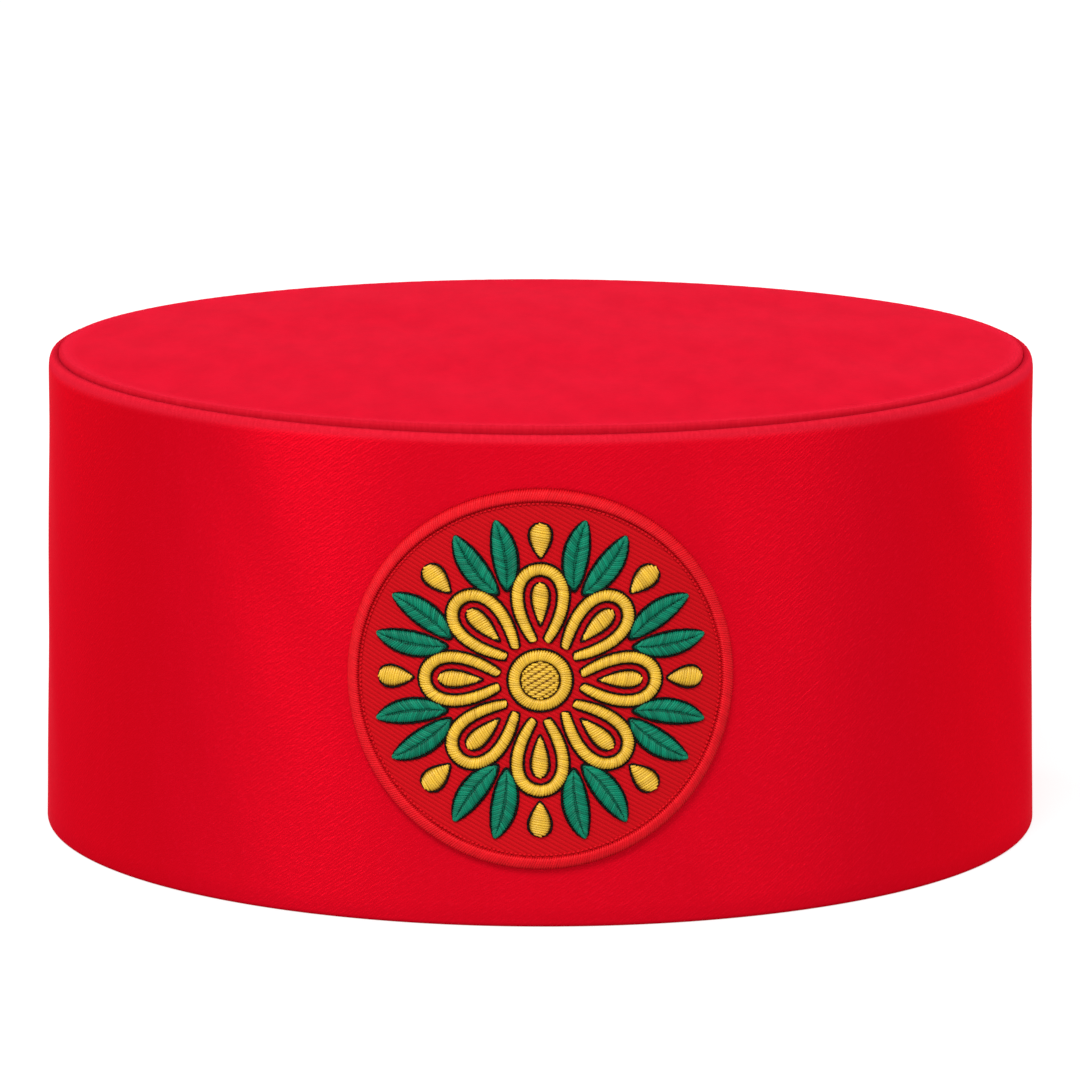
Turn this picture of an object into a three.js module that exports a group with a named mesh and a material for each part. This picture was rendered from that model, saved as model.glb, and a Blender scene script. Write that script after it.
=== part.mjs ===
// Crown cap: an oval, flat-topped, stiff-sided cap of red cloth with a round embroidered badge at the front.
// Millimetres, +Z up, front towards -Y. The origin is the centre of the oval at the rim, where the cap rests.
import * as THREE from "three";

// The cap's oval plan, wall and crown seam. Insets and radii are across the cap; along it they grow by lengthRatio.
const CAP = {
  halfWidth: 92,
  lengthRatio: 1.1,
  wallHeight: 88,
  wallThickness: 2.6,
  rimFlare: 1.0,
  wallBow: 0.2,
  hemRadius: 0.8,
  shoulderRadius: 1.0,
  seamInset: 1.35,
  seamDepth: 0.9,
  panelThickness: 2.0,
  panelRise: 0.8,
  pillowWidth: 2.4,
  sides: 80,
};

// The badge: a twill disc inside a stitched edge, both bent round the wall and a little wider than tall.
const BADGE = {
  centreHeight: 44.2,
  diameter: 67.5,
  widthRatio: 1.02,
  edgeWidth: 2.3,
  edgeHeight: 1.7,
  groundThickness: 0.9,
  groundRings: 4,
  groundSides: 40,
  edgeSides: 56,
  heartRadius: 5.4,
  heartHeight: 1.0,
  heartSides: 20,
};

// The clear gap that neighbouring pieces keep.
const GAP = 0.3;
const BADGE_GAP = 0.2;

// A motif's line from root to tip in the badge's plane, y outwards from the badge's centre: straight, bowed to one
// side, or an arch that leaves the heart, rounds its top and comes back.
function straightSpine(from, to) {
  return new THREE.LineCurve(new THREE.Vector2(0, from), new THREE.Vector2(0, to));
}
function bowedSpine(root, control, tip) {
  return new THREE.QuadraticBezierCurve(
    new THREE.Vector2(...root), new THREE.Vector2(...control), new THREE.Vector2(...tip),
  );
}
function archSpine(from, top, rootSpan, spread) {
  const controlHeight = (top - from / 4) / 0.75;
  return new THREE.CubicBezierCurve(
    new THREE.Vector2(-rootSpan / 2, from), new THREE.Vector2(-spread, controlHeight),
    new THREE.Vector2(spread, controlHeight), new THREE.Vector2(rootSpan / 2, from),
  );
}

// Embroidered motifs, each a padded shape along a spine, repeated in a ring. Its half width at a share of its length is
// halfWidth * along^rootPower * (1 - along)^tipPower, scaled to peak at halfWidth.
const MOTIFS = [
  { name: "petal_loop", count: 8, turn: 0, spine: archSpine(6.9, 19.6, 2.1, 11.6),
    halfWidth: 1.05, rootPower: 0.15, tipPower: 0.15, height: 0.9, rows: 14, columns: 8, finish: "goldThread" },
  { name: "petal_drop", count: 8, turn: 0, spine: straightSpine(9.6, 17.2),
    halfWidth: 1.5, rootPower: 1.1, tipPower: 0.5, height: 0.7, rows: 7, columns: 6, finish: "goldThread" },
  { name: "leaf_left", count: 8, turn: 22.5, spine: bowedSpine([-0.7, 16.6], [-3.4, 21.6], [-3.7, 28.8]),
    halfWidth: 2.1, rootPower: 0.8, tipPower: 0.8, height: 0.7, rows: 8, columns: 6, finish: "greenThread" },
  { name: "leaf_right", count: 8, turn: 22.5, spine: bowedSpine([0.7, 16.6], [3.4, 21.6], [3.7, 28.8]),
    halfWidth: 2.1, rootPower: 0.8, tipPower: 0.8, height: 0.7, rows: 8, columns: 6, finish: "greenThread" },
  { name: "bud", count: 8, turn: 0, spine: straightSpine(21.5, 27.7),
    halfWidth: 1.9, rootPower: 1.0, tipPower: 0.5, height: 0.8, rows: 6, columns: 6, finish: "goldThread" },
];

const FINISHES = {
  redCloth: new THREE.MeshStandardMaterial({ color: "#d8071f", roughness: 0.75, metalness: 0 }),
  redTwill: new THREE.MeshStandardMaterial({ color: "#c2121c", roughness: 0.8, metalness: 0 }),
  redThread: new THREE.MeshStandardMaterial({ color: "#d81a29", roughness: 0.6, metalness: 0 }),
  goldThread: new THREE.MeshStandardMaterial({ color: "#efc23c", roughness: 0.45, metalness: 0 }),
  greenThread: new THREE.MeshStandardMaterial({ color: "#128a63", roughness: 0.5, metalness: 0 }),
};

// Outer radius of the wall across the cap: it flares to the rim and bows in a little at half height.
function outerRadius(height) {
  const share = height / CAP.wallHeight;
  return CAP.halfWidth + CAP.rimFlare * (1 - share) - CAP.wallBow * 4 * share * (1 - share);
}

// A solid of revolution about +Z from a profile of (radius, height) points.
function revolved(points, sides) {
  return new THREE.LatheGeometry(points, sides).rotateX(Math.PI / 2);
}

// A revolved solid stretched front to back into the cap's oval.
function ovalSolid(points) {
  return revolved(points, CAP.sides).scale(1, CAP.lengthRatio, 1);
}

// The wall's section: flat rim with rounded hem, leaning wall, rolled shoulder, seam lip, panel ledge, inner face.
function wallSection() {
  const { wallHeight, wallThickness, hemRadius, shoulderRadius, seamInset, seamDepth } = CAP;
  const inner = (height) => outerRadius(height) - wallThickness;
  const lip = CAP.halfWidth - seamInset;
  const ledge = ledgeHeight();
  const shoulderStart = wallHeight - shoulderRadius;
  const shoulderTop = CAP.halfWidth - shoulderRadius;
  const path = new THREE.Path();
  path.moveTo(inner(0) + hemRadius, 0);
  path.lineTo(outerRadius(0) - hemRadius, 0);
  path.absarc(outerRadius(0) - hemRadius, hemRadius, hemRadius, -Math.PI / 2, 0);
  for (const share of [0.25, 0.5, 0.75]) path.lineTo(outerRadius(share * wallHeight), share * wallHeight);
  path.absarc(shoulderTop, shoulderStart, shoulderRadius, 0, Math.PI / 2);
  path.quadraticCurveTo(lip, wallHeight, lip, wallHeight - seamDepth);
  path.lineTo(lip, ledge);
  path.lineTo(inner(ledge), ledge);
  path.lineTo(inner(wallHeight / 2), wallHeight / 2);
  path.lineTo(inner(hemRadius), hemRadius);
  path.quadraticCurveTo(inner(0), 0, inner(0) + hemRadius, 0);
  return path.getPoints(3);
}

// Height of the ledge inside the wall that carries the crown panel's edge.
function ledgeHeight() {
  return CAP.wallHeight - CAP.seamDepth - CAP.panelThickness + CAP.pillowWidth / 3;
}

// The crown panel's section above its own flat underside: a pillowed edge, then a shallow dome to the middle.
function panelSection() {
  const edge = CAP.halfWidth - CAP.seamInset - GAP;
  const shoulder = CAP.panelThickness - CAP.panelRise / 4;
  const path = new THREE.Path();
  path.moveTo(0, 0);
  path.lineTo(edge, 0);
  path.lineTo(edge, shoulder / 2);
  path.quadraticCurveTo(edge, shoulder - CAP.panelRise / 4, edge - CAP.pillowWidth, shoulder);
  path.quadraticCurveTo(edge / 2, CAP.panelThickness + CAP.panelRise, 0, CAP.panelThickness + CAP.panelRise);
  return path.getPoints(4);
}

// The oval of the wall's outer face at the crown, counter-clockwise from the front.
const wallOval = new THREE.EllipseCurve(
  0, 0, CAP.halfWidth, CAP.halfWidth * CAP.lengthRatio, -Math.PI / 2, (3 * Math.PI) / 2,
);
wallOval.arcLengthDivisions = 720;

// Bends a flat badge piece round the wall: x runs along the wall from the front, y up from the badge's centre,
// z outwards from the wall's face.
function bentRoundWall(flat) {
  const position = flat.getAttribute("position");
  const girth = wallOval.getLength();
  for (let i = 0; i < position.count; i += 1) {
    const along = BADGE.widthRatio * position.getX(i);
    const share = THREE.MathUtils.euclideanModulo(along / girth, 1);
    const up = position.getY(i);
    const out = position.getZ(i);
    const scale = outerRadius(BADGE.centreHeight + up) / CAP.halfWidth;
    const foot = wallOval.getPointAt(share).multiplyScalar(scale);
    const tangent = wallOval.getTangentAt(share);
    position.setXYZ(i, foot.x + tangent.y * out, foot.y - tangent.x * out, up);
  }
  return flat;
}

// The badge's twill ground, a thin disc in rings so that it bends evenly.
function groundDisc() {
  const radius = BADGE.diameter / 2 - BADGE.edgeWidth - GAP;
  const ringRadius = (ring) => (radius * ring) / BADGE.groundRings;
  const points = [];
  for (let ring = 0; ring <= BADGE.groundRings; ring += 1) {
    points.push(new THREE.Vector2(ringRadius(ring), 0));
  }
  for (let ring = BADGE.groundRings; ring >= 0; ring -= 1) {
    points.push(new THREE.Vector2(ringRadius(ring), BADGE.groundThickness));
  }
  return revolved(points, BADGE.groundSides).translate(0, 0, BADGE_GAP);
}

// The badge's stitched edge: a ring with a flat back and a round face.
function stitchedEdge() {
  const outer = BADGE.diameter / 2;
  const middle = outer - BADGE.edgeWidth / 2;
  const path = new THREE.Path();
  path.moveTo(outer - BADGE.edgeWidth, 0);
  path.lineTo(outer, 0);
  path.absellipse(middle, 0.3 * BADGE.edgeHeight, BADGE.edgeWidth / 2, 0.7 * BADGE.edgeHeight, 0, Math.PI);
  path.lineTo(outer - BADGE.edgeWidth, 0);
  return revolved(path.getPoints(3), BADGE.edgeSides).translate(0, 0, BADGE_GAP);
}

// Height of the motifs' flat backs above the wall's face.
const MOTIF_SEAT = BADGE_GAP + BADGE.groundThickness + BADGE_GAP;

// The round padded heart at the middle of the motifs.
function heartDome() {
  const path = new THREE.Path();
  path.moveTo(0, 0);
  path.lineTo(BADGE.heartRadius, 0);
  path.absellipse(0, 0, BADGE.heartRadius, BADGE.heartHeight, 0, Math.PI / 2);
  return revolved(path.getPoints(3), BADGE.heartSides).translate(0, 0, MOTIF_SEAT);
}

// Half width of a motif at a share of its length.
function motifHalfWidth(motif, along) {
  const { rootPower, tipPower } = motif;
  const shape = (share) => share ** rootPower * (1 - share) ** tipPower;
  return (motif.halfWidth * shape(along)) / shape(rootPower / (rootPower + tipPower));
}

// One padded motif on a flat back: a ball whose rows are fitted across the spine to the motif's half widths.
function paddedMotif(motif) {
  const ball = new THREE.SphereGeometry(1, motif.columns, motif.rows);
  const position = ball.getAttribute("position");
  for (let i = 0; i < position.count; i += 1) {
    const along = Math.acos(THREE.MathUtils.clamp(position.getY(i), -1, 1)) / Math.PI;
    const rowRadius = Math.sin(along * Math.PI);
    const atPole = rowRadius < 1e-6;
    const halfWidth = atPole ? 0 : motifHalfWidth(motif, along);
    const crest = motif.height * Math.sqrt(halfWidth / motif.halfWidth);
    const across = atPole ? 0 : (position.getX(i) / rowRadius) * halfWidth;
    const lift = atPole ? 0 : Math.max(position.getZ(i) / rowRadius, 0) * crest;
    const foot = motif.spine.getPointAt(along);
    const tangent = motif.spine.getTangentAt(along);
    position.setXYZ(i, foot.x - tangent.y * across, foot.y + tangent.x * across, lift);
  }
  return ball.translate(0, 0, MOTIF_SEAT);
}

// A named mesh in one of the cap's finishes.
function piece(name, geometry, finish) {
  const mesh = new THREE.Mesh(geometry, FINISHES[finish]);
  mesh.name = name;
  return mesh;
}

// The badge, centred on the front of the wall.
function badgeGroup() {
  const badge = new THREE.Group();
  badge.position.z = BADGE.centreHeight;
  badge.add(piece("badge_ground", bentRoundWall(groundDisc()), "redTwill"));
  badge.add(piece("badge_edge", bentRoundWall(stitchedEdge()), "redThread"));
  badge.add(piece("heart", bentRoundWall(heartDome()), "goldThread"));
  for (const motif of MOTIFS) {
    for (let i = 0; i < motif.count; i += 1) {
      const turn = THREE.MathUtils.degToRad(motif.turn + (360 * i) / motif.count);
      const shape = bentRoundWall(paddedMotif(motif).rotateZ(-turn));
      badge.add(piece(`${motif.name}_${i + 1}`, shape, motif.finish));
    }
  }
  return badge;
}

const cap = new THREE.Group();
cap.add(piece("side_band", ovalSolid(wallSection()), "redCloth"));
const crownPanel = piece("crown_panel", ovalSolid(panelSection()), "redCloth");
crownPanel.position.z = ledgeHeight() + GAP;
cap.add(crownPanel);
cap.add(badgeGroup());

export default cap;
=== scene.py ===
"""Dresses the crown cap: a gabardine band and crown, and a badge embroidered thread by thread.

Shapes are drawn in millimetres and stored in metres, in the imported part's frame: +Z up, front towards -Y.
"""

import logging
import math
from collections.abc import Callable, Sequence
from dataclasses import dataclass, field
from enum import Enum

import bmesh
import bpy
import numpy as np
from mathutils import Matrix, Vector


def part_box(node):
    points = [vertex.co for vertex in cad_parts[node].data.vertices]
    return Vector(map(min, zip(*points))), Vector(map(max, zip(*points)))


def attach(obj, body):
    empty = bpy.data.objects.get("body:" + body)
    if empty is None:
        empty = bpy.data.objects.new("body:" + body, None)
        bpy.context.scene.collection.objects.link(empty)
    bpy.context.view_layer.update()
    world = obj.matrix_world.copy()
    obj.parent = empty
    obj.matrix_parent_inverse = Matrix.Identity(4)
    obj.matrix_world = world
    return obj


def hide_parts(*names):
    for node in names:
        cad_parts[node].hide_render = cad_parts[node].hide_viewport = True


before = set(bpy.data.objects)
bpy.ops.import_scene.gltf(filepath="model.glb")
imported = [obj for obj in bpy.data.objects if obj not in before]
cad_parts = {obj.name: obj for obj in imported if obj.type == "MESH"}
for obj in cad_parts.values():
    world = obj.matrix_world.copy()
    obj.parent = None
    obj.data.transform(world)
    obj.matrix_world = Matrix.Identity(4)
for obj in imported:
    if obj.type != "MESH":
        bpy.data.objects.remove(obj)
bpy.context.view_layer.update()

MM = 0.001
BODY = "root"
CLOTH_MAP = "cloth"
LOG = logging.getLogger("crown_cap")

# Vertices closer than this, in millimetres, are merged
MERGE = 1e-4
# Small enough to count as nothing; no divisor falls below it
TINY = 1e-6

# A colour Mix node's sockets: its share, the two colours that it mixes, and the result
MIX_SHARE = 0
MIX_FROM = 6
MIX_TO = 7
MIX_RESULT = 2

# What the chance in each piece of embroidery starts from
EDGE_SEED = 11
ROW_SEED = 12
HEART_SEED = 13
OUTLINE_SEED = 14
FIRST_MOTIF_SEED = 20

# The size, the count round the cap and the phase of each of some waves
Waves = tuple[tuple[float, float, float], ...]
# Thread lines in the badge's plane, as threads by stations by x, y and z
Lines = np.ndarray


def linear(hex_colour: str) -> tuple[float, float, float, float]:
    """Turns an sRGB colour into linear light.

    Args:
        hex_colour: The colour as "#rrggbb".

    Returns:
        Linear red, green and blue, and an alpha of 1.
    """
    channels = [int(hex_colour[i:i + 2], 16) / 255 for i in (1, 3, 5)]
    light = [c / 12.92 if c <= 0.04045 else ((c + 0.055) / 1.055) ** 2.4 for c in channels]
    return light[0], light[1], light[2], 1.0


def plug(tree: bpy.types.NodeTree, node: bpy.types.Node, values: dict, links: dict) -> None:
    """Sets and links a node's input sockets.

    Args:
        tree: The node tree.
        node: The node.
        values: Numbers or colours for its input sockets.
        links: Output sockets that feed its input sockets.
    """
    for socket, value in values.items():
        node.inputs[socket].default_value = value
    for socket, source in links.items():
        tree.links.new(source, node.inputs[socket])


def add_node(
    tree: bpy.types.NodeTree,
    kind: str,
    values: dict | None = None,
    links: dict | None = None,
    **settings: object,
) -> bpy.types.Node:
    """Adds a node to a tree.

    Args:
        tree: The node tree.
        kind: The node's type name.
        values: Numbers or colours for its input sockets.
        links: Output sockets that feed its input sockets.
        **settings: Its other properties.

    Returns:
        The new node.
    """
    node = tree.nodes.new(kind)
    for name, setting in settings.items():
        setattr(node, name, setting)
    plug(tree, node, values or {}, links or {})
    return node


def new_material(name: str) -> tuple[bpy.types.Material, bpy.types.NodeTree, bpy.types.Node]:
    """Makes a material, and gives it with its node tree and its one shader.

    Args:
        name: The material's name.

    Returns:
        The material, its node tree and its shader.
    """
    material = bpy.data.materials.new(name)
    material.use_nodes = True
    tree = material.node_tree
    return material, tree, tree.nodes["Principled BSDF"]


def noise_scale(size_mm: float) -> float:
    """Gives the Scale of a noise, in metres, whose patches are about this wide."""
    return 1 / (size_mm * MM)


def wave_scale(pitch_mm: float) -> float:
    """Gives the Scale of a band wave, in metres, with this pitch; at a Scale of 1 the pitch is pi / 10."""
    return math.pi / 10 / (pitch_mm * MM)


def grain(tree: bpy.types.NodeTree, size_mm: float, detail: float = 2.0) -> bpy.types.NodeSocket:
    """Draws an even grain in the piece's own space.

    Args:
        tree: The node tree.
        size_mm: About how wide its patches are.
        detail: How many finer layers it has.

    Returns:
        The grain's socket.
    """
    place = add_node(tree, "ShaderNodeTexCoord").outputs["Object"]
    noise = add_node(
        tree, "ShaderNodeTexNoise", {"Scale": noise_scale(size_mm), "Detail": detail}, {"Vector": place},
    )
    return noise.outputs["Fac"]


@dataclass(frozen=True)
class Gabardine:
    """Polyester gabardine: a fine steep twill, dyed deep red and pressed over a stiff base.

    The pressed face shines softly in the dye's own colour, which a metallic share gives, and its bumped twill
    catches that shine where light rakes it; pale pink dashes mixed into the colour are a painted highlight
    all over.
    Where the crown seam works the cloth the shine wears off, and the colour there is a little darker, with
    pink streaks of fibre whose pinkness is a painted sheen. A painted shade darkens the seam's groove, the
    crown's edge and the hem. Raised fibre ends scatter a little pink light at grazing angles.
    """

    name: str = "polyester_gabardine"
    colour: str = "#dd0920"
    deep: str = "#db091f"
    # A painted highlight: pale dashes of this colour over the whole cloth
    glint: str = "#f01a38"
    # A painted shade, which darkens the seam's groove, the crown's edge above it and the hem
    painted_crease_shade: str = "#960010"
    # Pinker colours where the seam works the cloth, mixed by its fibre streaks; their pinkness is a painted
    # sheen
    rubbed_with_painted_sheen: str = "#cc182b"
    frayed_with_painted_sheen: str = "#d61d31"
    sheen_tint: str = "#ff4474"
    edge_tint: str = "#ff2a3a"
    gloss: float = 0.45
    sheen: float = 0.08
    # The real cords lie closer together; these are as coarse as they need to be to show
    twill_pitch_mm: float = 0.5
    twill_angle: float = 35.0
    dash_length_mm: float = 1.3
    nap_mm: float = 3.0
    nap_length_mm: float = 16.0
    pucker_mm: float = 0.5
    pucker_length_mm: float = 2.2

    def patterns(self, tree: bpy.types.NodeTree) -> dict[str, bpy.types.NodeSocket]:
        """Draws the cloth's patterns on the cloth map, which is in metres along the cloth.

        Args:
            tree: The material's node tree.

        Returns:
            The sockets of the twill's cords, the dashes along them, the nap and the seam's puckers.
        """
        cloth = add_node(tree, "ShaderNodeUVMap", uv_map=CLOTH_MAP).outputs["UV"]
        slant = (0, 0, -math.radians(self.twill_angle))
        turned = add_node(tree, "ShaderNodeMapping", {"Rotation": slant}, {"Vector": cloth}).outputs["Vector"]
        twill = add_node(
            tree, "ShaderNodeTexWave",
            {"Scale": wave_scale(self.twill_pitch_mm), "Distortion": 2.0, "Detail": 1.0, "Detail Scale": 0.4},
            {"Vector": turned}, bands_direction="Y",
        )
        dash = (self.twill_pitch_mm / self.dash_length_mm, 1, 1)
        comb = (1, self.nap_mm / self.nap_length_mm, 1)
        gather = (1, self.pucker_mm / self.pucker_length_mm, 1)
        rows = (
            ("dashes", turned, dash, self.twill_pitch_mm, {"Detail": 2.0}),
            ("nap", cloth, comb, self.nap_mm, {"Detail": 3.0, "Roughness": 0.6}),
            ("puckers", cloth, gather, self.pucker_mm, {"Detail": 2.0}),
        )
        found = {"twill": twill.outputs["Fac"]}
        for name, place, stretch, size_mm, detail in rows:
            drawn = add_node(tree, "ShaderNodeMapping", {"Scale": stretch}, {"Vector": place})
            noise = add_node(
                tree, "ShaderNodeTexNoise", {"Scale": noise_scale(size_mm), **detail},
                {"Vector": drawn.outputs["Vector"]},
            )
            found[name] = noise.outputs["Fac"]
        return found

    def dye(
        self, tree: bpy.types.NodeTree, patterns: dict[str, bpy.types.NodeSocket], wear_and_painted_sheen: bpy.types.NodeSocket,
    ) -> bpy.types.NodeSocket:
        """Mixes the cloth's colour.

        Args:
            tree: The material's node tree.
            patterns: The cloth's patterns.
            wear_and_painted_sheen: How far the seam works the cloth; it also sets the share of the painted
                sheen in the colour.

        Returns:
            The colour's socket.
        """
        # Painted shade: the mesh's share darkens the seam's groove, the crown's edge and the hem towards a
        # dark red
        painted_shade = add_node(tree, "ShaderNodeAttribute", attribute_name="painted_shade").outputs["Fac"]
        shares = {"wear_and_painted_sheen": wear_and_painted_sheen, "painted_shade": painted_shade}
        spans = (
            ("shade", "nap", {"From Min": 0.35, "From Max": 0.65}),
            ("glints", "dashes", {"From Min": 0.55, "From Max": 0.8, "To Max": 0.2}),
            ("streaks", "puckers", {"From Min": 0.4, "From Max": 0.7}),
        )
        for name, pattern, span in spans:
            spread = add_node(tree, "ShaderNodeMapRange", span, {"Value": patterns[pattern]})
            shares[name] = spread.outputs["Result"]
        # Each mix, its share, and the two colours or earlier mixes that it goes between
        mixes = (
            ("ground", "shade", self.deep, self.colour),
            ("lit", "glints", "ground", self.glint),
            ("rubbed_with_painted_sheen", "streaks", self.rubbed_with_painted_sheen, self.frayed_with_painted_sheen),
            ("worn_with_painted_sheen", "wear_and_painted_sheen", "lit", "rubbed_with_painted_sheen"),
            ("with_painted_shade", "painted_shade", "worn_with_painted_sheen", self.painted_crease_shade),
        )
        mixed = {}
        for name, share, *ends in mixes:
            values, links = {}, {MIX_SHARE: shares[share]}
            for socket, end in zip((MIX_FROM, MIX_TO), ends):
                if end in mixed:
                    links[socket] = mixed[end]
                else:
                    values[socket] = linear(end)
            mix = add_node(tree, "ShaderNodeMix", values, links, data_type="RGBA")
            mixed[name] = mix.outputs[MIX_RESULT]
        return mixed["with_painted_shade"]

    def relief(
        self, tree: bpy.types.NodeTree, patterns: dict[str, bpy.types.NodeSocket], seam: bpy.types.NodeSocket,
    ) -> bpy.types.NodeSocket:
        """Raises the puckers beside the seam, and the weave all over.

        Args:
            tree: The material's node tree.
            patterns: The cloth's patterns.
            seam: The share of the seam's pull.

        Returns:
            The normal's socket.
        """
        weave = add_node(
            tree, "ShaderNodeMath", {1: 0.15}, {0: patterns["twill"], 2: patterns["dashes"]},
            operation="MULTIPLY_ADD",
        )
        gather = add_node(
            tree, "ShaderNodeMath", {}, {0: patterns["puckers"], 1: seam}, operation="MULTIPLY",
        )
        pulled = add_node(
            tree, "ShaderNodeBump", {"Strength": 0.4, "Distance": 0.25 * MM},
            {"Height": gather.outputs["Value"]},
        )
        woven = add_node(
            tree, "ShaderNodeBump", {"Strength": 0.55, "Distance": 0.1 * MM},
            {"Height": weave.outputs["Value"], "Normal": pulled.outputs["Normal"]},
        )
        return woven.outputs["Normal"]

    def material(self) -> bpy.types.Material:
        """Builds the material: where the seam pulls the cloth it loses its metallic shine, puckers, and takes
        a pinker colour with a painted sheen.
        """
        material, tree, shader = new_material(self.name)
        patterns = self.patterns(tree)
        seam = add_node(tree, "ShaderNodeAttribute", attribute_name="seam").outputs["Fac"]
        # The seam's share takes off the metallic shine and mixes in the pinker colours with their painted
        # sheen
        wear_and_painted_sheen = add_node(
            tree, "ShaderNodeMapRange", {"From Max": 0.6}, {"Value": seam}, interpolation_type="SMOOTHSTEP",
        ).outputs["Result"]
        rough = add_node(
            tree, "ShaderNodeMapRange", {"To Min": 0.3, "To Max": 0.4}, {"Value": patterns["dashes"]},
        )
        gloss = add_node(
            tree, "ShaderNodeMapRange", {"To Min": self.gloss, "To Max": 0.0}, {"Value": wear_and_painted_sheen},
        )
        values = {
            "Specular IOR Level": 0.0,
            "Specular Tint": linear(self.edge_tint),
            "Sheen Weight": self.sheen,
            "Sheen Roughness": 0.3,
            "Sheen Tint": linear(self.sheen_tint),
        }
        links = {
            "Base Color": self.dye(tree, patterns, wear_and_painted_sheen),
            "Normal": self.relief(tree, patterns, seam),
            "Roughness": rough.outputs["Result"],
            "Metallic": gloss.outputs["Result"],
        }
        plug(tree, shader, values, links)
        return material


# The band's cloth as it comes, and the crown's, with a coarser nap; the crown's paler, pinker colour is a
# painted sheen from light at grazing angles
BAND_CLOTH = Gabardine()
CROWN_CLOTH = Gabardine(
    name="napped_polyester_gabardine_painted_sheen", colour="#e51431", deep="#db112c", glint="#fa2749",
    nap_mm=6.0, nap_length_mm=18.0,
)


@dataclass(frozen=True)
class BadgeTwill:
    """Cotton-rich badge twill: coarse diagonal cords, matt, with darker lines where the cords meet."""

    name: str = "cotton_badge_twill"
    colour: str = "#c40d18"
    valley: str = "#a40910"
    fade_patch_mm: float = 14.0
    faded: str = "#bb0b15"
    yarn_mm: float = 0.5

    def material(self) -> bpy.types.Material:
        """Builds the material; the mesh's cord attribute runs from 0 in a valley to 1 on a crest."""
        material, tree, shader = new_material(self.name)
        cord = add_node(tree, "ShaderNodeAttribute", attribute_name="cord").outputs["Fac"]
        crest = add_node(
            tree, "ShaderNodeMix", {MIX_FROM: linear(self.faded), MIX_TO: linear(self.colour)},
            {MIX_SHARE: grain(tree, self.fade_patch_mm, detail=3.0)}, data_type="RGBA",
        )
        height = add_node(
            tree, "ShaderNodeMapRange", {"From Min": 0.05, "From Max": 0.65}, {"Value": cord},
        )
        colour = add_node(
            tree, "ShaderNodeMix", {MIX_FROM: linear(self.valley)},
            {MIX_SHARE: height.outputs["Result"], MIX_TO: crest.outputs[MIX_RESULT]}, data_type="RGBA",
        )
        bump = add_node(
            tree, "ShaderNodeBump", {"Strength": 0.4, "Distance": 0.1 * MM},
            {"Height": grain(tree, self.yarn_mm)},
        )
        values = {
            "Roughness": 0.8,
            "Specular IOR Level": 0.05,
            "Sheen Weight": 0.1,
            "Sheen Tint": linear(self.colour),
        }
        links = {"Base Color": colour.outputs[MIX_RESULT], "Normal": bump.outputs["Normal"]}
        plug(tree, shader, values, links)
        return material


@dataclass(frozen=True)
class ThreadDye:
    """A thread's lit colour, its deep colour for painted shade and darker tones, its gloss, its slot and its
    spread of tones.
    """

    lit: str
    # The deep colour is painted shade at a thread's ends and on its padding, and the dark end of its random
    # tones
    deep: str
    gloss: float
    slot: str | None
    tone_share: float = 0.28


class ThreadColour(Enum):
    """The badge's threads; no slot of the record has the dark one's finish."""

    GOLD = ThreadDye("#e9ba2e", "#744507", 0.5, "gold_thread")
    GREEN = ThreadDye("#038363", "#011f18", 0.14, "green_thread", tone_share=0.5)
    RED = ThreadDye("#dc1420", "#a80a14", 0.08, "red_thread")
    # The same red thread as the edge, a little darker: painted shade in the row's needle holes
    PAINTED_SHADE_STITCH_RED = ThreadDye("#cc101b", "#b80c17", 0.05, "red_thread")
    DARK = ThreadDye("#150d0d", "#080404", 0.08, None)


@dataclass(frozen=True)
class EmbroideryThread:
    """Trilobal polyester thread: glossy twisted filaments with a silky highlight across the strands."""

    colour: ThreadColour
    roughness: float = 0.42
    fibre_mm: float = 0.25

    def material(self) -> bpy.types.Material:
        """Builds the material; tone differs by thread, and the painted shade is 1 where a thread enters the
        cloth.
        """
        material, tree, shader = new_material(f"polyester_thread_{self.colour.name.lower()}")
        dye = self.colour.value
        tone = add_node(tree, "ShaderNodeAttribute", attribute_name="tone").outputs["Fac"]
        painted_dive_shade = add_node(tree, "ShaderNodeAttribute", attribute_name="painted_dive_shade").outputs["Fac"]
        shade = add_node(
            tree, "ShaderNodeMath", {1: dye.tone_share}, {0: tone, 2: painted_dive_shade},
            operation="MULTIPLY_ADD", use_clamp=True,
        )
        colour = add_node(
            tree, "ShaderNodeMix", {MIX_FROM: linear(dye.lit), MIX_TO: linear(dye.deep)},
            {MIX_SHARE: shade.outputs["Value"]}, data_type="RGBA",
        )
        bump = add_node(
            tree, "ShaderNodeBump", {"Strength": 0.3, "Distance": 0.05 * MM},
            {"Height": grain(tree, self.fibre_mm, detail=1.0)},
        )
        values = {
            "Roughness": self.roughness,
            "Specular IOR Level": dye.gloss,
            "Sheen Weight": 0.1,
            "Sheen Tint": linear(dye.lit),
        }
        links = {"Base Color": colour.outputs[MIX_RESULT], "Normal": bump.outputs["Normal"]}
        plug(tree, shader, values, links)
        return material


@dataclass(frozen=True)
class StudioPaper:
    """Matt white backdrop paper, lit from below as on a light table, so that shadows stay faint."""

    name: str = "white_studio_paper"
    colour: str = "#8c8c8c"
    light: str = "#ffffff"
    glow: float = 0.78
    grain_mm: float = 2.0

    def material(self) -> bpy.types.Material:
        """Builds the floor's material."""
        material, tree, shader = new_material(self.name)
        rough = add_node(
            tree, "ShaderNodeMapRange", {"To Min": 0.85, "To Max": 0.95},
            {"Value": grain(tree, self.grain_mm)},
        )
        values = {
            "Base Color": linear(self.colour),
            "Specular IOR Level": 0.0,
            "Emission Color": linear(self.light),
            "Emission Strength": self.glow,
        }
        plug(tree, shader, values, {"Roughness": rough.outputs["Result"]})
        return material


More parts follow.
